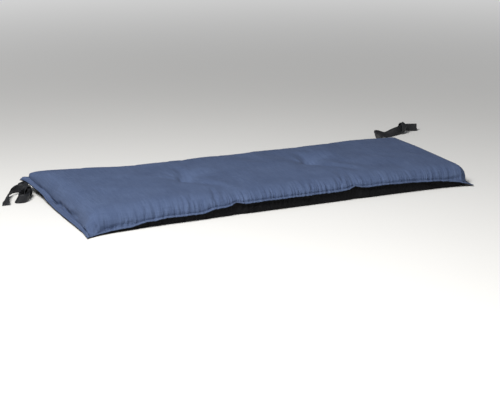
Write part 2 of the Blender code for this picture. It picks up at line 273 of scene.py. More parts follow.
# Some gathers are deeper than the rest; each one slants and bows a little, and widens inwards
DEEP_SHARE = 0.12
DEEPER = 1.8
SLANT = 0.10
BOW = 1.6
WIDENING = 0.7
# Towards the right end the gathers are shallower
CALM_START = 0.08
CALM_REACH = 0.34
CALM_SHARE = 0.55
SIDE_BLEND = 0.014
# The base panel's gathers take other draws and are less deep
BASE_SHIFT = 40
BASE_GATHERS = 0.8
# Height of the ridge beside each gather or wrinkle, as a share of its depth
RIDGE = 0.45
# Each crease is its depth (below 0 for a raised fold), its width, and the points that it follows
CREASES = (
    # front-left corner and its ear
    (-44, 46, ((-5980, -1490, 66), (-5960, -1710, 69), (-5920, -1870, 88), (-5950, -2250, 196))),
    (50, 44, ((-6040, -1500, 60), (-6050, -1800, 60), (-6010, -2080, 65), (-5950, -2320, 110))),
    (-44, 46, ((-5950, -2250, 196), (-5880, -2290, 331), (-5850, -2290, 415), (-5770, -2140, 510))),
    (75, 46, ((-5890, -2400, 80), (-5840, -2400, 200), (-5800, -2380, 300),
              (-5790, -2330, 400), (-5740, -2260, 490))),
    (-26, 40, ((-6120, -2660, 45), (-6030, -2400, 70), (-5970, -2280, 110))),
    (28, 36, ((-5960, -2620, 45), (-5800, -2500, 80), (-5660, -2430, 180))),
    (40, 46, ((-5750, -2470, 130), (-5400, -2460, 150), (-5020, -2430, 180), (-4600, -2420, 200))),
    # front-right corner
    (80, 38, ((5570, -2280, 480), (5550, -2340, 429), (5540, -2380, 365), (5510, -2430, 275))),
    (40, 40, ((5000, -2440, 287), (5280, -2440, 266), (5500, -2440, 269), (5660, -2360, 230))),
    (-24, 45, ((5480, -2240, 500), (5520, -2350, 380), (5500, -2400, 290))),
    # back-left corner and its ear
    (34, 40, ((-5900, 2850, 340), (-5830, 2970, 380), (-5760, 3060, 400))),
    (-30, 50, ((-5720, 2380, 260), (-5700, 2220, 340), (-5690, 2060, 425))),
    (34, 40, ((-5800, 2560, 260), (-5770, 2400, 270), (-5740, 2260, 290))),
    # left end
    (55, 46, ((-5810, 1760, 210), (-5790, 1520, 170), (-5760, 1100, 120), (-5770, 670, 83))),
    (110, 70, ((-5730, 670, 155), (-5740, 480, 144), (-5740, 360, 160))),
    (-40, 44, ((-5750, 360, 116), (-5840, -100, 75), (-5930, -700, 71))),
    (52, 46, ((-5710, 300, 170), (-5770, -120, 130), (-5860, -640, 110))),
    (-30, 50, ((-5700, 140, 300), (-5740, -200, 290), (-5800, -700, 280))),
    (46, 60, ((-5810, -560, 171), (-5830, -920, 206), (-5860, -1340, 246))),
    # front face
    (34, 42, ((-2080, -1600, 668), (-2180, -1900, 655), (-2300, -2260, 560), (-2350, -2400, 364))),
    (30, 34, ((-2120, -1900, 652), (-2230, -2260, 570), (-2260, -2400, 380))),
    (-16, 40, ((-2050, -1860, 655), (-2160, -2240, 575), (-2180, -2400, 400))),
    (46, 38, ((1800, -1900, 660), (1680, -2200, 600), (1580, -2380, 450), (1560, -2400, 380))),
    (-22, 44, ((1900, -1880, 660), (1760, -2220, 590), (1680, -2390, 430))),
    (26, 38, ((-2800, -1800, 670), (-2920, -2120, 625), (-3000, -2360, 480))),
    (26, 36, ((800, -1960, 650), (700, -2300, 545), (650, -2390, 400))),
    (24, 36, ((1010, -2220, 590), (950, -2390, 434), (940, -2400, 380))),
    (22, 40, ((-1900, -1900, 650), (-2020, -2260, 565), (-2080, -2400, 420))),
)
# Folds of the base panel under the seam
BASE_CREASES = (
    (30, 50, ((2150, -2450, 340), (2140, -2380, 200), (2120, -2260, 60))),
    (-24, 48, ((2250, -2380, 225), (2620, -2360, 215), (3100, -2350, 200))),
    (30, 50, ((-1500, -2430, 340), (-1500, -2360, 200), (-1520, -2240, 60))),
    (-18, 50, ((-1400, -2380, 200), (-1000, -2360, 180), (-500, -2360, 160))),
    (22, 60, ((200, -2380, 260), (600, -2360, 200), (900, -2320, 120))),
    (22, 60, ((4200, -2380, 260), (4500, -2360, 190), (4800, -2320, 110))),
)
# A crease fades over a share of its length at each end, to a share of its depth
CREASE_TAPER = 0.22
CREASE_ENDS = 0.25
# Wrinkles that run out from each tuft: heading in degrees, length, depth, width
TUFT_WRINKLES = (
    ((168, 1500, 41, 70), (196, 850, 27, 60), (135, 1050, 32, 65), (112, 900, 24, 60),
     (86, 1500, 59, 140), (64, 850, 27, 50), (44, 950, 29, 50), (22, 950, 27, 55),
     (-12, 1100, 20, 75), (-48, 1000, 24, 75), (-74, 2000, 61, 150), (-128, 950, 22, 65)),
    ((150, 1250, 41, 70), (182, 1400, 32, 65), (212, 800, 17, 60), (116, 850, 27, 60),
     (94, 1300, 54, 130), (70, 800, 27, 50), (46, 900, 29, 50), (20, 950, 27, 55),
     (-6, 1050, 17, 70), (-38, 900, 22, 70), (-73, 2000, 59, 150), (-116, 800, 20, 60)),
)
# How a wrinkle sways, starts and fades
WRINKLE_SWAY = 0.10
SWAY_LENGTH = 0.034
WRINKLE_START = 0.010
WRINKLE_TAPER = 0.8
# Round each tuft, from its middle: how far in X and Y, how deep or high, how wide
TUFT_HOLLOWS = ((0.004, 0.012, 0.0052, 0.0520), (0.0, 0.0, 0.0014, 0.0080))
TUFT_SWELLS = ((0.082, 0.056, 0.0042, 0.0460), (-0.085, 0.010, 0.0022, 0.0420))
# Slack of the top panel: clear of the edge by, full after, seed, waves, shortest, longest, steepness
SLACK_WAVES = ((0.010, 0.050, 21, 18, 0.050, 0.170, 0.0045), (0.006, 0.020, 22, 26, 0.016, 0.040, 0.0018))
# The seam allowance droops and ripples: height, length, sway, length of the sway
FLANGE_DROOP = 0.0026
FLANGE_ROOM = 0.022
FLANGE_RIPPLES = ((0.0005, 0.0150, 1.3, 0.061), (0.0003, 0.0042, 2.0, 0.027))
# The back-left ear, which the tie pulls into a roll: height, reach, and width of its rim
EAR_PUFF = 0.0075
EAR_PUFF_REACH = 0.023
EAR_PUFF_RIM = 0.0018
# The groove that the stitches pull along the seam
GROOVE_DEPTH = 0.0012
GROOVE_PLACE = 0.0022
GROOVE_WIDTH = 0.0030
# Share of the folds that is left at the outer edge of the seam allowance
TOP_RIM_FOLDS = 0.25
BASE_RIM_FOLDS = 0.3
# Heights over which the base panel lifts off the floor and its folds begin
BASE_FOLD_RISE = 0.010
BASE_LIFT_RISE = 0.004


def waves(seed, count, short, long, steepness):
    """A sum of seeded sine waves, each as high as its length times the steepness."""
    draw = np.random.default_rng(seed)
    field = np.zeros_like(FX)
    for _ in range(count):
        length = draw.uniform(short, long)
        heading = draw.uniform(0.0, TURN)
        phase = draw.uniform(0.0, TURN)
        across = FX * cos(heading) + FY * sin(heading)
        field += steepness * length * np.sin(TURN * across / length + phase)
    return field / sqrt(count)


def furrow(off, width, aside, spread):
    """Profile of a fold: 1 deep in its middle, with a lower ridge on one side."""
    return RIDGE * bell(off - aside * width, spread * width) - bell(off, width)


def gather_field(along, inward, seed, gap, depths, widths, runs):
    """Displacement of the gathers along one seam; along and inward are surface lengths."""
    draw = np.random.default_rng(seed)
    field = np.zeros_like(along)
    reach = np.maximum(inward, 0.0)
    place = float(along.min())
    last = float(along.max())
    while place < last:
        place += draw.uniform(*gap)
        depth = draw.uniform(*depths) * (1.0 if draw.random() > DEEP_SHARE else DEEPER)
        width = draw.uniform(*widths)
        run = draw.uniform(*runs)
        slant = draw.normal(0.0, SLANT)
        bow = draw.normal(0.0, BOW)
        off = along - place - slant * reach - bow * reach ** 2
        widen = width * (1.0 + WIDENING * reach / run)
        field += depth * bell(reach, run) * furrow(off, widen, 2.1, 1.2)
    return field


def on_surface(points, place):
    """The point of a grid that lies nearest to a place in steps of 0.1 mm."""
    flat = points.reshape(-1, 3)
    return Vector(flat[np.argmin(norm(flat - np.array(place) / PER_METRE, axis=-1))])


def crease_field(points, creases):
    """Displacement of single creases, each along its own points."""
    field = np.zeros(points.shape[:-1])
    for depth, width, path in creases:
        near = np.full(field.shape, 1e9)
        place = np.zeros_like(field)
        stops = [on_surface(points, stop) for stop in path]
        lengths = [(end - start).length for start, end in zip(stops, stops[1:])]
        run = 0.0
        for start, end, length in zip(stops, stops[1:], lengths):
            step = np.array(end - start)
            share = clamp01(((points - np.array(start)) @ step) / length ** 2)
            away = norm(points - np.array(start) - share[..., None] * step, axis=-1)
            closer = away < near
            near = np.where(closer, away, near)
            place = np.where(closer, (run + share * length) / sum(lengths), place)
            run += length
        fade = ease(place / CREASE_TAPER) * ease((1.0 - place) / CREASE_TAPER)
        profile = bell(near, width / PER_METRE)
        field -= depth / PER_METRE * profile * (CREASE_ENDS + (1.0 - CREASE_ENDS) * fade)
    return field


def tuft_field():
    """The sharp middle of each tuft, the swells round it and its wrinkles, over the flat plan."""
    field = np.zeros_like(FX)
    for (tuft_x, tuft_y, _), wrinkles in zip(TUFTS, TUFT_WRINKLES):
        dx, dy = FX - tuft_x, FY - tuft_y
        field -= sum(depth * bell(np.hypot(dx - x, dy - y), width) for x, y, depth, width in TUFT_HOLLOWS)
        for x, y, height, width in TUFT_SWELLS:
            field += height * bell(np.hypot(dx - x, dy - y), width)
        for heading, *sizes in wrinkles:
            turn = radians(heading)
            length, depth, width = (size / PER_METRE for size in sizes)
            out = dx * cos(turn) + dy * sin(turn)
            sway = WRINKLE_SWAY * out * np.sin(out / SWAY_LENGTH)
            off = -dx * sin(turn) + dy * cos(turn) + sway
            fade = ease(out / WRINKLE_START) * ease((length - out) / (WRINKLE_TAPER * length))
            field += depth * fade * furrow(off, width, 2.0, 1.1)
    return field


TOP = top_surface()
TOP_RUNS = run_lengths(TOP)
BASE = base_surface()
BASE_RUNS = run_lengths(BASE)
SEAM_CELL = len(FLANGE_STOPS)


def seam_distances(run_x, run_y):
    """Surface lengths inwards from the stitch line of each side."""
    return {
        "front": run_y - run_y[:, SEAM_CELL, None],
        "back": run_y[:, -1 - SEAM_CELL, None] - run_y,
        "left": run_x - run_x[SEAM_CELL],
        "right": run_x[-1 - SEAM_CELL] - run_x,
    }


TOP_INWARD = seam_distances(*TOP_RUNS)
BASE_INWARD = seam_distances(*BASE_RUNS)


def side_share(side):
    """How much a point belongs to one side, rather than to the sides next to it."""
    lines = {
        "front": 0.5 * DEPTH + FY, "back": 0.5 * DEPTH - FY,
        "left": 0.5 * LENGTH + FX, "right": 0.5 * LENGTH - FX,
    }
    others = ("left", "right") if side in LONG_SIDES else LONG_SIDES
    nearest = np.minimum(*(lines[other] for other in others))
    return ease((nearest - lines[side]) / SIDE_BLEND + 0.5)


def all_gathers(inwards, shift=0):
    """The gathers of all four seams."""
    field = np.zeros_like(FX)
    calm = 1.0 - CALM_SHARE * ease((FX - CALM_START) / CALM_REACH)
    for side, inward in inwards.items():
        seed, *ranges = GATHERS[side]
        along = FX if side in LONG_SIDES else FY
        gathers = gather_field(along, inward, seed + shift, *np.array(ranges) / PER_METRE)
        field += gathers * side_share(side) * calm
    return field


def flange_lift():
    """How the seam allowance droops and ripples outside the stitch line."""
    out = clamp01((ALLOWANCE - TO_EDGE) / ALLOWANCE)
    room = clamp01(seam_height() / FLANGE_ROOM)
    run = np.where(TO_END < TO_SIDE, FY, FX)
    ripple = sum(
        height * np.sin(run / length + sway * np.sin(run / sway_length))
        for height, length, sway, sway_length in FLANGE_RIPPLES
    )
    return out * room * (ripple - FLANGE_DROOP * out)


def ear_puff():
    """How far the cloth stands up on the back-left ear."""
    corner = np.hypot(FX + 0.5 * LENGTH, FY - 0.5 * DEPTH)
    return EAR_PUFF * bell(corner, EAR_PUFF_REACH) * ease(TO_EDGE / EAR_PUFF_RIM)


def inside(at_rim=0.0):
    """1 inside the stitch line, at_rim at the outer edge of the seam allowance."""
    return at_rim + (1.0 - at_rim) * ease(TO_EDGE / ALLOWANCE)


# Cloth simulation of the top panel: it is held at its seams and tufts, backed by the filling,
# and cut a little large in the middle and more so along the seams
SETTLE_FRAMES = 14
SETTLE_CAP = 0.006
FILLING_HOLD = 0.05
TUFT_HOLD = 0.006
FULL_MIDDLE = 0.0015
FULL_EDGE = 0.020
FULL_REACH = 0.050
WEIGHT_STEP = 0.02
SMOOTH_PASSES = 2


def paint_group(piece, name, weights):
    """A vertex group from an array of weights, in even steps."""
    group = piece.vertex_groups.new(name=name)
    steps = np.round(weights.ravel() / WEIGHT_STEP).astype(int)
    for step in np.unique(steps[steps > 0]):
        group.add(np.nonzero(steps == step)[0].tolist(), float(step) * WEIGHT_STEP, "REPLACE")
    return name


def settle(start):
    """Run the cloth simulation on a grid of points and return the settled grid."""
    sheet = make_object("settling", start.reshape(-1, 3), quads_of(indices_of(start)))
    hold = np.where(TO_EDGE <= ALLOWANCE + 1e-6, 1.0, FILLING_HOLD)
    for tuft_x, tuft_y, _ in TUFTS:
        hold = np.where(np.hypot(FX - tuft_x, FY - tuft_y) < TUFT_HOLD, 1.0, hold)
    nearest = np.minimum.reduce(list(TOP_INWARD.values()))
    modifier = sheet.modifiers.new("cloth", "CLOTH")
    cloth = modifier.settings
    cloth.quality = 5
    cloth.mass = 0.05
    cloth.tension_stiffness = cloth.compression_stiffness = 15.0
    cloth.shear_stiffness = cloth.bending_stiffness = 5.0
    cloth.vertex_group_mass = paint_group(sheet, "held", hold)
    cloth.pin_stiffness = 1.0
    cloth.vertex_group_shrink = paint_group(sheet, "full", bell(np.maximum(nearest, 0.0), FULL_REACH))
    cloth.shrink_min = -FULL_MIDDLE
    cloth.shrink_max = -FULL_EDGE
    cloth.effector_weights.gravity = 0.0
    modifier.collision_settings.use_collision = False
    modifier.point_cache.frame_end = SETTLE_FRAMES
    for frame_number in range(1, SETTLE_FRAMES + 1):
        scene.frame_set(frame_number)
    settled = sheet.evaluated_get(bpy.context.evaluated_depsgraph_get()).to_mesh()
    places = np.zeros(len(settled.vertices) * 3, np.float32)
    settled.vertices.foreach_get("co", places)
    scene.frame_set(1)
    bpy.data.objects.remove(sheet)
    moved = places.reshape(start.shape) - start
    length = norm(moved, axis=-1, keepdims=True)
    return start + moved * np.minimum(1.0, SETTLE_CAP / np.maximum(length, 1e-9))


def smoothed(points):
    """Even out what is as fine as the grid itself; the border stays."""
    for _ in range(SMOOTH_PASSES):
        inner = points[1:-1, 1:-1]
        around = points[:-2, 1:-1] + points[2:, 1:-1] + points[1:-1, :-2] + points[1:-1, 2:]
        points = points.copy()
        points[1:-1, 1:-1] = 0.6 * inner + 0.1 * around
    return points


def dressed_top():
    """The outside of the top panel, with all its folds."""
    fold = all_gathers(TOP_INWARD) + crease_field(TOP, CREASES) + tuft_field()
    for clear, reach, *facts in SLACK_WAVES:
        fold += ease((TO_EDGE - clear) / reach) * waves(*facts)
    start = TOP + normals_of(TOP) * (fold * inside(TOP_RIM_FOLDS))[..., None]
    settled = smoothed(settle(start))
    settled[..., 2] = np.maximum(settled[..., 2], LOWEST_TOP)
    groove = sum(
        GROOVE_DEPTH * bell(inward - GROOVE_PLACE, GROOVE_WIDTH) * side_share(side)
        for side, inward in TOP_INWARD.items()
    )
    points = settled + normals_of(settled) * (SHEET_LIFT + 0.5 * SHEET - groove)[..., None]
    points[..., 2] += flange_lift() + ear_puff()
    return points


def dressed_base(outside):
    """The outside of the base panel: a little slack under the seam, flat where it rests."""
    fold = BASE_GATHERS * all_gathers(BASE_INWARD, BASE_SHIFT) + crease_field(BASE, BASE_CREASES)
    fold = fold * clamp01(BASE[..., 2] / BASE_FOLD_RISE) * inside(BASE_RIM_FOLDS)
    points = BASE - normals_of(BASE) * fold[..., None]
    points[..., 2] += flange_lift() - SHEET_LIFT * ease(BASE[..., 2] / BASE_LIFT_RISE)
    points[..., 2] = np.minimum(points[..., 2], outside[..., 2] - SHEET - LINING_GAP)
    points[..., 2] = np.maximum(points[..., 2], FLOOR_GAP)
    return points


# ---- panels and stitches
# How far from the long seams the cloth is puckered, with painted shade along the pleats; how far a painted
# highlight reaches beside each tuft, and how far it is shifted onto the tuft's lit slope
PUCKER_REACH = 0.038
TUFT_HIGHLIGHT_REACH = 0.042
TUFT_HIGHLIGHT_SHIFT = (0.022, 0.016)
# The filling stays this far above the base panel
FILLING_GAP = 0.0003
STITCH_PITCH = 0.0032
STITCH_ROW = 3
STITCH_STEP = 0.001
# Headings of the threads that cross in a tuft, and how far they lie above the cloth
TUFT_THREADS = (18, 72, 128)
TUFT_THREAD_LIFT = 0.0006
# A thread's rings: place as a share of its length, and swell
THREAD_RINGS = ((-0.50, 0.30), (-0.36, 0.85), (0.0, 1.0), (0.36, 0.85), (0.50, 0.30))
THREAD_SIDES = 6


def indices_of(grid, start=0):
    """Index of each point of a grid."""
    return np.arange(grid.shape[0] * grid.shape[1]).reshape(grid.shape[:2]) + start


def quads_of(cells):
    """The faces of a grid of point indices."""
    return np.stack([cells[:-1, :-1], cells[1:, :-1], cells[1:, 1:], cells[:-1, 1:]], axis=-1).reshape(-1, 4)


def rim_of(grid):
    """What lies round the border of a grid, in order."""
    return np.concatenate([grid[:-1, 0], grid[-1, :-1], grid[:0:-1, -1], grid[0, :0:-1]])


def pair_faces(grid, start=0):
    """Faces of a closed form between two grids of one size, whose points follow each other."""
    upper = indices_of(grid, start)
    lower = upper + upper.size
    top_rim, low_rim = rim_of(upper), rim_of(lower)
    rim = np.stack([top_rim, low_rim, np.roll(low_rim, -1), np.roll(top_rim, -1)], axis=-1)
    return np.concatenate([quads_of(upper), quads_of(lower)[:, ::-1], rim])


def add_to_scene(name, data):
    """A new object in the scene."""
    item = bpy.data.objects.new(name, data)
    scene.collection.objects.link(item)
    return item


def make_object(name, verts, faces, uv=None):
    """A smooth mesh object; its cloth coordinates are given per point."""
    data = bpy.data.meshes.new(name)
    data.from_pydata([tuple(v) for v in verts], [], [tuple(int(i) for i in face) for face in faces])
    if uv is not None:
        layer = data.uv_layers.new(name="cloth")
        loops = np.zeros(len(data.loops), np.int32)
        data.loops.foreach_get("vertex_index", loops)
        layer.data.foreach_set("uv", np.asarray(uv, np.float32)[loops].ravel())
    data.shade_smooth()
    data.update()
    return add_to_scene(name, data)


def cloth_uv(run_x, run_y):
    """Cloth coordinates in metres, measured from the middle of the panel."""
    middle_x, middle_y = run_x.shape[0] // 2, run_x.shape[1] // 2
    return np.stack([run_x - run_x[middle_x], run_y - run_y[:, middle_y, None]], axis=-1)


def closed_pair(name, upper, lower, runs_upper, runs_lower):
    """A closed piece between two grids that share their border order."""
    verts = np.concatenate([upper.reshape(-1, 3), lower.reshape(-1, 3)])
    uv = np.concatenate([cloth_uv(*runs).reshape(-1, 2) for runs in (runs_upper, runs_lower)])
    return make_object(name, verts, pair_faces(upper), uv)


def paint(piece, name, fields):
    """A value per point from the sum of some fields, alike on both faces of a panel."""
    layer = piece.data.attributes.new(name, "FLOAT", "POINT")
    layer.data.foreach_set("value", np.tile(sum(fields).ravel(), 2).astype(np.float32))


def build_top_cloth(outside):
    """The top panel, marked where its seams pucker it, for pleats in relief and painted shade along them, and
    with a painted highlight on the lit slope beside each tuft.
    """
    cloth = closed_pair("top_cloth", outside, outside - SHEET * normals_of(outside), TOP_RUNS, TOP_RUNS)
    # Near the long seams: pleats in relief, and painted shade along them
    paint(cloth, "pucker_and_shade", (
        bell(np.maximum(TOP_INWARD[side], 0.0), PUCKER_REACH) * side_share(side) for side in LONG_SIDES
    ))
    # A painted highlight: lighter tone on the slope beside each tuft that faces the key light
    paint(cloth, "tuft_highlight", (
        bell(np.hypot(FX - tuft_x - TUFT_HIGHLIGHT_SHIFT[0], FY - tuft_y - TUFT_HIGHLIGHT_SHIFT[1]), TUFT_HIGHLIGHT_REACH)
        for tuft_x, tuft_y, _ in TUFTS
    ))
    return cloth


def build_filled_body(outside):
    """Filling and base panel in one closed form, under the top panel."""
    base = dressed_base(outside)
    under = outside - (SHEET + LINING_GAP * inside())[..., None] * normals_of(outside)
    under[..., 2] = np.maximum(under[..., 2], base[..., 2] + FILLING_GAP)
    return closed_pair("filled_body", under, base, TOP_RUNS, BASE_RUNS)


def stitch_mesh(name, places, headings, normals, length, radius):
    """Short threads that lie along a seam, as one mesh."""
    verts, faces = [], []
    for place, heading, normal in zip(places, headings, normals):
        heading, normal = Vector(heading).normalized(), Vector(normal).normalized()
        side = heading.cross(normal).normalized()
        start = len(verts)
        for along, swell in THREAD_RINGS:
            lift = radius * (0.55 - 2.2 * along * along)
            for step in range(THREAD_SIDES):
                angle = TURN * step / THREAD_SIDES
                out = radius * swell * (cos(angle) * side + sin(angle) * normal)
                verts.append(Vector(place) + along * length * heading + lift * normal + out)
        last = len(verts) - THREAD_SIDES
        for ring in range(start, last, THREAD_SIDES):
            for step in range(THREAD_SIDES):
                here, there = ring + step, ring + (step + 1) % THREAD_SIDES
                faces.append((here, there, there + THREAD_SIDES, here + THREAD_SIDES))
        faces.append(tuple(range(start + THREAD_SIDES - 1, start - 1, -1)))
        faces.append(tuple(range(last, last + THREAD_SIDES)))
    return make_object(name, verts, faces)


def build_seam_stitches(outside):
    """The row of stitches that closes the cushion, on the seam allowance."""
    inner = slice(STITCH_ROW, -STITCH_ROW)
    line = rim_of(outside[inner, inner])
    faces = rim_of(normals_of(outside)[inner, inner])
    steps = norm(np.diff(line, axis=0, append=line[:1]), axis=-1)
    run = np.insert(np.cumsum(steps), 0, 0.0)

    def at(where, values):
        closed = np.concatenate([values, values[:1]])
        return np.stack([np.interp(where, run, closed[:, axis]) for axis in range(3)], axis=-1)

    count = int(run[-1] / STITCH_PITCH)
    stops = (np.arange(count) + 0.5) * run[-1] / count
    places, normals = at(stops, line), at(stops, faces)
    headings = at(stops + STITCH_STEP, line) - at(stops - STITCH_STEP, line)
    return stitch_mesh("seam_stitches", places, headings, normals, length=0.72 * STITCH_PITCH, radius=0.00035)


def build_tuft_stitches(outside):
    """The crossed threads that hold each tuft down."""
    places, headings = [], []
    for tuft_x, tuft_y, _ in TUFTS:
        spot = outside[np.argmin(np.abs(STOPS_X - tuft_x)), np.argmin(np.abs(STOPS_Y - tuft_y))]
        for turn in TUFT_THREADS:
            angle = radians(turn)
            places.append(spot + np.array((0.0, 0.0, TUFT_THREAD_LIFT)))
            headings.append((cos(angle), sin(angle), 0.0))
    normals = [(0.0, 0.0, 1.0)] * len(places)
    return stitch_mesh("tuft_stitches", places, headings, normals, length=0.0085, radius=0.0007)


# ---- ribbons of the ties
RIBBON_WIDTH = 0.024
RIBBON_SHEET = 0.0009
REST_GAP = 0.0005
POINTS_PER_SPAN = 12
RIBBON_ROWS = 6
# How far two strands that run together lie apart, face to face and side to side
STRAND_APART = 0.0009
STRAND_SLIP = 0.0010
# How a loose ribbon cups and flutters
CUP, CUP_LENGTH = 0.0009, 0.016
FLUTTER, FLUTTER_LENGTH = 0.0005, 0.007
# Each row is x, y, lift under the ribbon, and lean in degrees: 0 lies flat, 90 stands on its edge
LEFT_STRANDS = (
    (-5900, 3080, 275, 0), (-6040, 3030, 225, 8), (-6130, 2860, 110, 54), (-6130, 2620, 60, 82),
    (-6070, 2420, 40, 88),
)
LEFT_UNDER_STRAND = (
    (-5970, 3005, 258, 0), (-6040, 2910, 142, 28), (-6050, 2770, 60, 60), (-6020, 2620, 45, 84),
    (-6030, 2440, 40, 90),
)
LEFT_FREE_END = (
    (-6060, 2420, 40, 88), (-6090, 2620, 60, 90), (-6220, 2750, 60, 90), (-6420, 2720, 40, 72),
    (-6630, 2460, 10, 62), (-6820, 2080, 0, 44), (-6950, 1680, 0, 24),
)
LEFT_BOW_LOOP = (
    (-6020, 2380, 30, 90), (-6080, 2140, 10, 84), (-6280, 1800, 0, 80), (-6460, 1760, 0, 98),
    (-6560, 1870, 0, 122), (-6480, 2060, 0, 110), (-6320, 2280, 10, 96), (-6100, 2460, 30, 90),
)
RIGHT_STRANDS = (
    (6030, 2520, 269, 0), (6120, 2720, 215, 6), (6220, 3300, 40, 40), (6350, 4000, 0, 66),
    (6410, 4400, 0, 74), (6550, 4560, 0, 60), (6820, 4470, 0, 30), (7160, 4500, 20, 56),
    (7520, 4610, 40, 84),
)
RIGHT_FREE_END = (
    (7520, 4620, 50, 86), (7700, 4770, 40, 88), (7950, 4840, 10, 86), (8170, 4790, 0, 84),
)
# Turns of ribbon round each knot: x, y, z, heading, tip, radius across, radius up, width, start, sweep
LEFT_WRAPS = (
    (-0.6060, 0.2380, 0.0185, 80, 8, 0.0110, 0.0150, 0.0280, 20, 400),
    (-0.6100, 0.2540, 0.0180, 110, -20, 0.0125, 0.0130, 0.0220, 200, 330),
    (-0.6110, 0.2280, 0.0165, 55, 14, 0.0075, 0.0105, 0.0200, 120, 330),
    (-0.6060, 0.2400, 0.0180, 15, -6, 0.0085, 0.0125, 0.0200, 60, 380),
    (-0.6035, 0.2675, 0.0176, 85, -10, 0.0114, 0.0142, 0.0270, 150, 330),
)
RIGHT_WRAPS = (
    (0.7500, 0.4600, 0.0215, 20, 8, 0.0115, 0.0175, 0.0210, 20, 400),
    (0.7560, 0.4660, 0.0205, 52, -16, 0.0095, 0.0140, 0.0190, 210, 330),
)
# How a turn of ribbon is cut in steps of some degrees, and how it crumples along and across
WRAP_STEP = 7
WRAP_GROWTH = 0.10
WRAP_BULGE = 0.05
WRAP_NARROWING = 0.22
WRAP_CUP = 0.16
WRAP_WRINKLE = 0.05
WRAP_SLIDE = 0.0012


def smooth_route(table):
    """Points of a smooth curve through a route's rows, in metres and degrees."""
    rows = [np.array(row) / (PER_METRE, PER_METRE, PER_METRE, 1.0) for row in table]
    padded = [rows[0]] + rows + [rows[-1]]
    points = []
    for first, start, end, last in zip(padded, padded[1:], padded[2:], padded[3:]):
        for step in range(POINTS_PER_SPAN):
            t = step / POINTS_PER_SPAN
            square = (2 * first - 5 * start + 4 * end - last) * t ** 2
            cube = (3 * start - first - 3 * end + last) * t ** 3
            points.append(0.5 * (2 * start + (end - first) * t + square + cube))
    return points + [rows[-1]]


def ribbon_strip(table, seed, layer=0.0, slip=0.0):
    """Centre surface of a ribbon along its route; layer and slip part two strands that run together."""
    points = smooth_route(table)
    cup_phase, flutter_phase = np.random.default_rng(seed).uniform(0.0, TURN, 2)
    grid = np.zeros((len(points), RIBBON_ROWS + 1, 3))
    run_length = 0.0
    for index, (x, y, lift, lean) in enumerate(points):
        before, after = points[max(index - 1, 0)], points[min(index + 1, len(points) - 1)]
        run = Vector((after[0] - before[0], after[1] - before[1], 0.0)).normalized()
        side = Vector((-run.y, run.x, 0.0))
        slope = radians(lean)
        stand = 0.5 * (RIBBON_WIDTH * sin(slope) + RIBBON_SHEET)
        middle = Vector((x, y, REST_GAP + max(lift, 0.0) + stand))
        reach = 0.5 * RIBBON_WIDTH * (cos(slope) * side + Vector((0.0, 0.0, sin(slope))))
        face = run.cross(reach).normalized()
        run_length += hypot(x - before[0], y - before[1])
        cup = CUP * sin(run_length / CUP_LENGTH + cup_phase)
        flutter = FLUTTER * sin(run_length / FLUTTER_LENGTH + flutter_phase)
        for row in range(RIBBON_ROWS + 1):
            across = 2.0 * row / RIBBON_ROWS - 1.0
            bend = layer + cup * (1.0 - across * across) + flutter * across
            grid[index, row] = middle + across * reach + slip * reach.normalized() + face * bend
    return grid


def wrap_strip(row, seed):
    """A turn of ribbon round a knot, crumpled, as a grid of points."""
    x, y, z, heading, tip, radius_across, radius_up, width, start, sweep = row
    turn = Matrix.Rotation(radians(heading), 3, "Z") @ Matrix.Rotation(radians(tip), 3, "Y")
    phases = np.random.default_rng(seed).uniform(0.0, TURN, 4)
    steps = int(sweep / WRAP_STEP)
    grid = np.zeros((steps + 1, RIBBON_ROWS + 1, 3))
    for index in range(steps + 1):
        share = index / steps
        angle = radians(start + sweep * share)
        swell = 1.0 + WRAP_GROWTH * share + WRAP_BULGE * sin(3.0 * angle + phases[0])
        narrow = 1.0 - WRAP_NARROWING * (0.5 + 0.5 * sin(2.0 * angle + phases[1]))
        slide = WRAP_SLIDE * sin(2.0 * angle + phases[3])
        for place in range(RIBBON_ROWS + 1):
            across = 2.0 * place / RIBBON_ROWS - 1.0
            wrinkle = WRAP_WRINKLE * sin(5.0 * angle + 2.5 * across + phases[2])
            pinch = 1.0 - WRAP_CUP * across * across + wrinkle
            local = Vector((
                0.5 * width * across * narrow + slide,
                radius_across * swell * pinch * cos(angle),
                radius_up * swell * pinch * sin(angle),
            ))
            grid[index, place] = Vector((x, y, z)) + turn @ local
    return grid


def build_tie(name, strands, loose, wraps, seed):
    """One tie: its two strands from the seam, what comes out of the knot, and the turns of the knot."""
    strips = [ribbon_strip(route, seed + number, *apart) for number, (route, *apart) in enumerate(strands)]
    strips += [ribbon_strip(route, seed + 2 + number) for number, route in enumerate(loose)]
    strips += [wrap_strip(row, seed + 20 + number) for number, row in enumerate(wraps)]
    verts, faces, uvs = [], [], []
    length = 0.0
    for strip in strips:
        rows = strip.shape[1]
        steps = norm(np.diff(strip[:, rows // 2], axis=0), axis=-1)
        run = np.insert(np.cumsum(steps), 0, 0.0)
        length += run[-1]
        across = np.linspace(0.0, RIBBON_WIDTH, rows)
        uv = np.stack(np.broadcast_arrays(run[:, None], across[None, :]), axis=-1).reshape(-1, 2)
        half = 0.5 * RIBBON_SHEET * normals_of(strip)
        faces += list(pair_faces(strip, sum(len(block) for block in verts)))
        verts += [(strip + half).reshape(-1, 3), (strip - half).reshape(-1, 3)]
        uvs += [uv, uv]
    verts = np.concatenate(verts)
    verts[:, 2] = np.maximum(verts[:, 2], FLOOR_GAP)
    return make_object(name, verts, faces, np.concatenate(uvs)), length


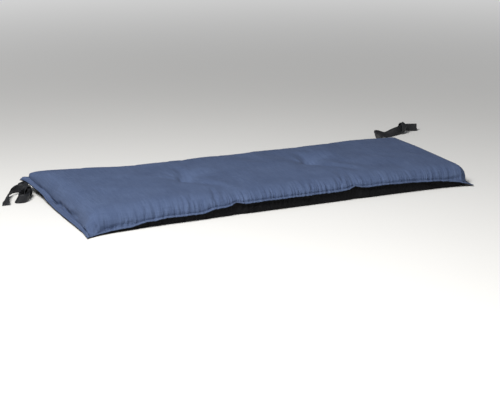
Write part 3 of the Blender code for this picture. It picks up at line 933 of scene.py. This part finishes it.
# ---- materials
TOP_WEAVE = dict(
    light=(0.119, 0.167, 0.292, 1.0), dark=(0.054, 0.080, 0.160, 1.0), pitch=0.00062, slub=0.42,
    roughness=0.88, sheen=0.035, sheen_tint=(0.75, 0.78, 0.86, 1.0), specular=0.14, thread_height=0.00015,
)
BASE_WEAVE = dict(
    light=(0.011, 0.011, 0.013, 1.0), dark=(0.003, 0.003, 0.004, 1.0), pitch=0.00055, slub=0.30,
    roughness=0.90, sheen=0.02, sheen_tint=(0.50, 0.55, 0.65, 1.0), specular=0.15, thread_height=0.00016,
)
RIBBON_WEAVE = dict(
    light=(0.026, 0.028, 0.033, 1.0), dark=(0.004, 0.004, 0.005, 1.0), rib=0.0011, roughness=0.58,
)
BLUE_THREAD = dict(light=(0.22, 0.28, 0.42, 1.0), dark=(0.10, 0.14, 0.25, 1.0))
FLOOR_TONES = (0.86, 0.86, 0.85, 1.0), (0.89, 0.89, 0.88, 1.0)
# Share that each feature of the weave has in its tone from dark to light; the pleat and thread shares are
# painted shade along the pleats and between the threads, and the share beside each tuft is a painted
# highlight
CLOUD_TONE = 0.24
STREAK_TONE = 0.7
PLEAT_SHADE_TONE = 0.9
TUFT_HIGHLIGHT_TONE = 0.22
THREAD_SHADE_TONE = 0.45
OVER_TONE = 0.16
# Parts of the ribbon's tone; the rib share is painted shade in the grooves between the ribs
RIB_SHADE_TONE = 0.35
WEAR_TONE = 0.45
HEM_TONE = 0.30


class Nodes:
    """A short hand for building a node tree."""

    def __init__(self, name):
        self.material = bpy.data.materials.new(name)
        self.material.use_nodes = True
        self.tree = self.material.node_tree
        self.shader = self.tree.nodes["Principled BSDF"]

    def add(self, kind, **settings):
        node = self.tree.nodes.new("ShaderNode" + kind)
        for key, value in settings.items():
            setattr(node, key, value)
        return node

    def put(self, socket, value):
        """Link an output to a socket, or set the socket's own value."""
        if hasattr(value, "is_output"):
            self.tree.links.new(value, socket)
        else:
            socket.default_value = value

    def fill(self, node, **values):
        """Put values on a node's sockets, named with _ for each space."""
        for name, value in values.items():
            self.put(node.inputs[name.replace("_", " ")], value)

    def math(self, operation, first, second=0.0, clamp=False):
        node = self.add("Math", operation=operation, use_clamp=clamp)
        self.put(node.inputs[0], first)
        self.put(node.inputs[1], second)
        return node.outputs[0]

    def plus(self, first, second, clamp=False):
        return self.math("ADD", first, second, clamp)

    def times(self, first, second):
        return self.math("MULTIPLY", first, second)

    def centred(self, value):
        return self.math("SUBTRACT", value, 0.5)

    def wave(self, place, half_length):
        """A sine wave along a coordinate."""
        return self.math("SINE", self.times(place, pi / half_length))

    def split(self, vector):
        """The X and Y of a vector."""
        node = self.add("SeparateXYZ")
        self.put(node.inputs[0], vector)
        return node.outputs["X"], node.outputs["Y"]

    def mix(self, share, first, second):
        node = self.add("Mix", data_type="RGBA")
        self.fill(node, Factor=share, A=first, B=second)
        return node.outputs["Result"]

    def noise(self, vector, scale, detail=3.0, roughness=0.6):
        node = self.add("TexNoise")
        self.fill(node, Vector=vector, Scale=scale, Detail=detail, Roughness=roughness)
        return node.outputs["Fac"]

    def streaks(self, vector, scale_x, scale_y, detail=3.0, roughness=0.6):
        """Noise whose scale differs along X and Y."""
        node = self.add("VectorMath", operation="MULTIPLY")
        self.put(node.inputs[0], vector)
        self.put(node.inputs[1], (scale_x, scale_y, 1.0))
        return self.noise(node.outputs["Vector"], 1.0, detail, roughness)

    def ramp(self, value, low, high):
        node = self.add("MapRange")
        self.fill(node, Value=value, From_Min=low, From_Max=high)
        return node.outputs["Result"]

    def bump(self, height, distance, strength, **below):
        node = self.add("Bump")
        self.fill(node, Height=height, Distance=distance, Strength=strength, **below)
        return node.outputs["Normal"]


def woven(name, light, dark, pitch, slub, roughness, sheen, sheen_tint, specular, thread_height):
    """Plain-woven cloth: warp over weft in turn, uneven threads and a soft sheen, with painted shade between
    the threads and along the pleats, and a painted highlight by each tuft.
    """
    n = Nodes(name)
    place = n.add("UVMap", uv_map="cloth").outputs["UV"]
    wobble = n.add("TexNoise")
    n.fill(wobble, Vector=place, Scale=90.0)
    shifted = n.add("VectorMath", operation="MULTIPLY_ADD")
    for socket, value in zip(shifted.inputs, (wobble.outputs["Color"], (0.0006, 0.0006, 0.0), place)):
        n.put(socket, value)
    warp, weft = (n.wave(part, pitch) for part in n.split(shifted.outputs["Vector"]))
    over = n.math("GREATER_THAN", n.times(warp, weft), 0.0)
    warp_shown = n.times(over, n.math("ABSOLUTE", warp))
    weft_shown = n.times(n.math("SUBTRACT", 1.0, over), n.math("ABSOLUTE", weft))
    height = n.plus(warp_shown, weft_shown)
    thread = n.plus(n.times(n.streaks(place, 18.0, 620.0), 0.5), n.times(n.streaks(place, 620.0, 22.0), 0.5))
    cloud = n.ramp(n.noise(place, 9.0, roughness=0.55), 0.3, 0.7)
    streak = n.centred(n.streaks(place, 230.0, 11.0, roughness=0.65))
    # The pleats near the long seams are bumps, and they are also painted shade in the tone
    pucker_and_shade = n.add("Attribute", attribute_name="pucker_and_shade").outputs["Fac"]
    pleats_and_shade = n.times(n.centred(n.streaks(place, 150.0, 10.0, detail=2.0, roughness=0.5)), pucker_and_shade)
    # Lighter tone beside each tuft: a painted highlight
    tuft_highlight = n.add("Attribute", attribute_name="tuft_highlight").outputs["Fac"]
    tone = n.plus(n.times(n.ramp(thread, 0.38, 0.62), slub), n.times(cloud, CLOUD_TONE))
    for part, share in ((streak, STREAK_TONE), (pleats_and_shade, PLEAT_SHADE_TONE), (tuft_highlight, TUFT_HIGHLIGHT_TONE)):
        tone = n.plus(tone, n.times(part, share))
    # Lighter thread crowns and darker gaps: painted shade between the threads
    for part, share in ((height, THREAD_SHADE_TONE), (over, OVER_TONE)):
        tone = n.plus(tone, n.times(n.centred(part), share), clamp=True)
    fuzz = n.times(n.noise(place, 2600.0, detail=2.0), 0.10)
    coarse = n.bump(thread, 0.0006, 0.35, Normal=n.bump(pleats_and_shade, 0.0050, 1.0))
    n.fill(
        n.shader, Base_Color=n.mix(tone, dark, light), Roughness=n.plus(fuzz, roughness - 0.05, clamp=True),
        Normal=n.bump(height, thread_height, 0.8, Normal=coarse), Sheen_Weight=sheen, Sheen_Roughness=0.45,
        Sheen_Tint=sheen_tint, Specular_IOR_Level=specular,
    )
    return n.material


def ribbed(name, light, dark, rib, roughness):
    """Ribbon with cross ribs, painted shade between them, and a firm woven edge."""
    n = Nodes(name)
    place = n.add("UVMap", uv_map="cloth").outputs["UV"]
    along, across = n.split(place)
    ribs = n.math("ABSOLUTE", n.wave(along, rib))
    threads = n.math("ABSOLUTE", n.wave(across, 0.6 * rib))
    height = n.plus(n.times(ribs, 0.75), n.times(threads, 0.25))
    from_middle = n.math("SUBTRACT", n.math("DIVIDE", across, 0.5 * RIBBON_WIDTH), 1.0)
    hem = n.ramp(n.math("ABSOLUTE", from_middle), 0.86, 0.96)
    wear = n.noise(place, 260.0)
    # Lighter rib crests and darker grooves: painted shade between the ribs
    tone = n.plus(n.times(height, RIB_SHADE_TONE), n.times(n.ramp(wear, 0.3, 0.7), WEAR_TONE))
    tone = n.plus(tone, n.times(hem, HEM_TONE), clamp=True)
    n.fill(
        n.shader, Base_Color=n.mix(tone, dark, light), Normal=n.bump(height, 0.00022, 0.9),
        Roughness=n.plus(n.times(wear, 0.16), roughness - 0.08, clamp=True), Sheen_Weight=0.03,
        Sheen_Roughness=0.4, Sheen_Tint=(0.55, 0.60, 0.70, 1.0), Specular_IOR_Level=0.35,
    )
    return n.material


def twisted_thread(name, light, dark):
    """Sewing thread with its twist."""
    n = Nodes(name)
    strands = n.noise(n.add("TexCoord").outputs["Object"], 2400.0, detail=2.0, roughness=0.5)
    n.fill(
        n.shader, Base_Color=n.mix(n.ramp(strands, 0.3, 0.7), dark, light), Roughness=0.62,
        Normal=n.bump(strands, 0.0001, 0.6), Sheen_Weight=0.04,
    )
    return n.material


def floor_paint():
    """Matt off-white that glows more further out, so that the floor stays pale behind the cushion."""
    n = Nodes("studio_floor")
    place = n.add("TexCoord").outputs["Object"]
    away = n.add("VectorMath", operation="LENGTH")
    n.put(away.inputs[0], place)
    glow = n.add("MapRange", interpolation_type="SMOOTHSTEP")
    n.fill(glow, Value=away.outputs["Value"], From_Min=0.9, From_Max=6.0, To_Max=0.62)
    n.fill(
        n.shader, Base_Color=n.mix(n.noise(place, 1.3, roughness=0.5), *FLOOR_TONES), Roughness=0.85,
        Emission_Color=(1.0, 1.0, 1.0, 1.0), Emission_Strength=glow.outputs["Result"],
    )
    return n.material


# ---- camera, floor and lights
CAMERA_AT = (-2.1630, -4.6206, 1.2674)
AZIMUTH = radians(24.921)
ELEVATION = radians(14.257)
ROLL = -0.015074
LENS = 131.02
# Each light is square and faces the origin: name, place, size, power, colour
LIGHTS = (
    ("key", (-1.75, -1.55, 2.70), 1.3, 148.0, (1.0, 0.985, 0.96)),
    ("fill", (3.2, -3.2, 2.4), 2.4, 6.0, (0.95, 0.97, 1.0)),
)


def build_camera():
    """The photograph's camera."""
    data = bpy.data.cameras.new("camera")
    data.sensor_width = 36.0
    data.sensor_fit = "HORIZONTAL"
    data.lens = LENS
    data.clip_end = 60.0
    look = Vector((
        sin(AZIMUTH) * cos(ELEVATION),
        cos(AZIMUTH) * cos(ELEVATION),
        -sin(ELEVATION),
    ))
    right = Vector((cos(AZIMUTH), -sin(AZIMUTH), 0.0))
    up = right.cross(look)
    turned_right = cos(ROLL) * right + sin(ROLL) * up
    turned_up = cos(ROLL) * up - sin(ROLL) * right
    axes = Matrix((turned_right, turned_up, -look)).transposed().to_4x4()
    axes.translation = CAMERA_AT
    camera = add_to_scene("camera", data)
    camera.matrix_world = axes
    scene.camera = camera


def build_studio():
    """A pale floor, two soft lights and a faint sky."""
    data = bpy.data.meshes.new("floor")
    data.from_pydata([(-20, -20, 0), (20, -20, 0), (20, 20, 0), (-20, 20, 0)], [], [(0, 1, 2, 3)])
    data.materials.append(floor_paint())
    add_to_scene("floor", data)
    for name, at, size, power, colour in LIGHTS:
        light = bpy.data.lights.new(name, "AREA")
        light.shape = "RECTANGLE"
        light.size = light.size_y = size
        light.energy = power
        light.color = colour
        lamp = add_to_scene(name, light)
        lamp.location = at
        lamp.rotation_euler = (-Vector(at)).to_track_quat("-Z", "Y").to_euler()
    world = bpy.data.worlds.new("studio")
    world.use_nodes = True
    background = world.node_tree.nodes["Background"]
    background.inputs["Color"].default_value = (0.94, 0.96, 1.0, 1.0)
    background.inputs["Strength"].default_value = 0.12
    scene.world = world
    scene.view_settings.view_transform = "Standard"


# ---- put together
def dress(piece, material, slot, *nodes):
    """Give a piece its material and body, and hide the nodes that it replaces; the slot is not used."""
    piece.data.materials.append(material)
    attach(piece, "root")
    if nodes:
        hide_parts(*nodes)


build_camera()
build_studio()

top_weave = woven("denim_blue_weave", **TOP_WEAVE)
base_weave = woven("black_base_weave", **BASE_WEAVE)
ribbon_cloth = ribbed("black_ribbed_ribbon", **RIBBON_WEAVE)
blue_thread = twisted_thread("blue_thread", **BLUE_THREAD)

outside = dressed_top()
top_cloth = build_top_cloth(outside)
filled_body = build_filled_body(outside)
seam_stitches = build_seam_stitches(outside)
tuft_stitches = build_tuft_stitches(outside)
left_strands = ((LEFT_STRANDS, 0.0, 0.0), (LEFT_UNDER_STRAND, 0.0, 0.0))
right_strands = ((RIGHT_STRANDS, STRAND_APART, STRAND_SLIP), (RIGHT_STRANDS, -STRAND_APART, -STRAND_SLIP))
left_loose = (LEFT_BOW_LOOP, LEFT_FREE_END)
left_ribbon, left_length = build_tie("left_ribbon", left_strands, left_loose, LEFT_WRAPS, 51)
right_ribbon, right_length = build_tie("right_ribbon", right_strands, (RIGHT_FREE_END,), RIGHT_WRAPS, 71)

dress(top_cloth, top_weave, "top_cloth", "top_panel")
dress(filled_body, base_weave, "base_cloth", "cushion")
dress(seam_stitches, blue_thread, "top_cloth")
dress(tuft_stitches, blue_thread, "top_cloth")
dress(left_ribbon, ribbon_cloth, "tie_ribbon", "tie_left")
dress(right_ribbon, ribbon_cloth, "tie_ribbon", "tie_right")
